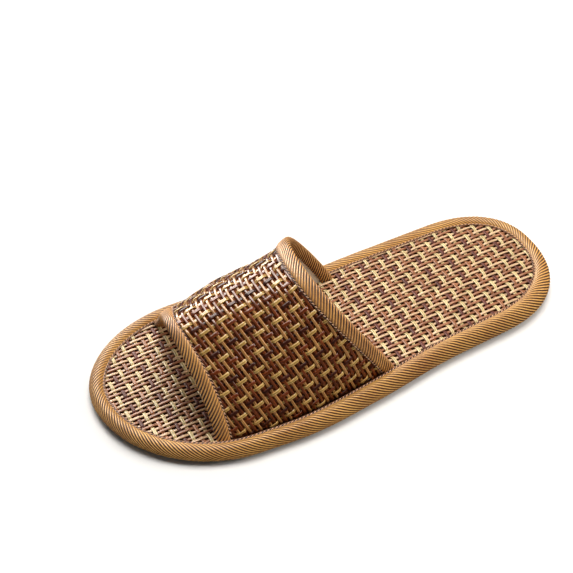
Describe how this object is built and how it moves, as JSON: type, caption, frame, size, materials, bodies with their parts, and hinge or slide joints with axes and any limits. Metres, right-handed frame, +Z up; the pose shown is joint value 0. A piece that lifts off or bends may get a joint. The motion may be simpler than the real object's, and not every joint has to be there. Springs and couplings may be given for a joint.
{
  "type": "slide sandal",
  "caption": "Left slide sandal: flat padded sole with a woven mat top, a ribbed cloth tape bound round its edge, and one wide woven strap over the forefoot bound at both rims.",
  "frame": {"origin": "on the floor under the sole, at the centre of the sandal's bounding box seen from above", "axes": "+Y points to the toe, +X to the big-toe side, +Z up; the sandal stands on Z = 0"},
  "size_m": [0.112, 0.27, 0.0729],
  "materials": {
    "outsole_rubber": "matte dark brown",
    "mat_straw": "woven flat strands, slightly glossy",
    "strap_straw": "woven flat strands, glossy, darker",
    "tape_cloth": "ribbed cloth tape with a soft sheen"
  },
  "bodies": {
    "root": {"outsole": "outsole_rubber", "insole": "mat_straw", "sole_binding": "tape_cloth", "upper": "strap_straw", "strap_front_binding": "tape_cloth", "strap_back_binding": "tape_cloth"}
  },
  "joints": []
}
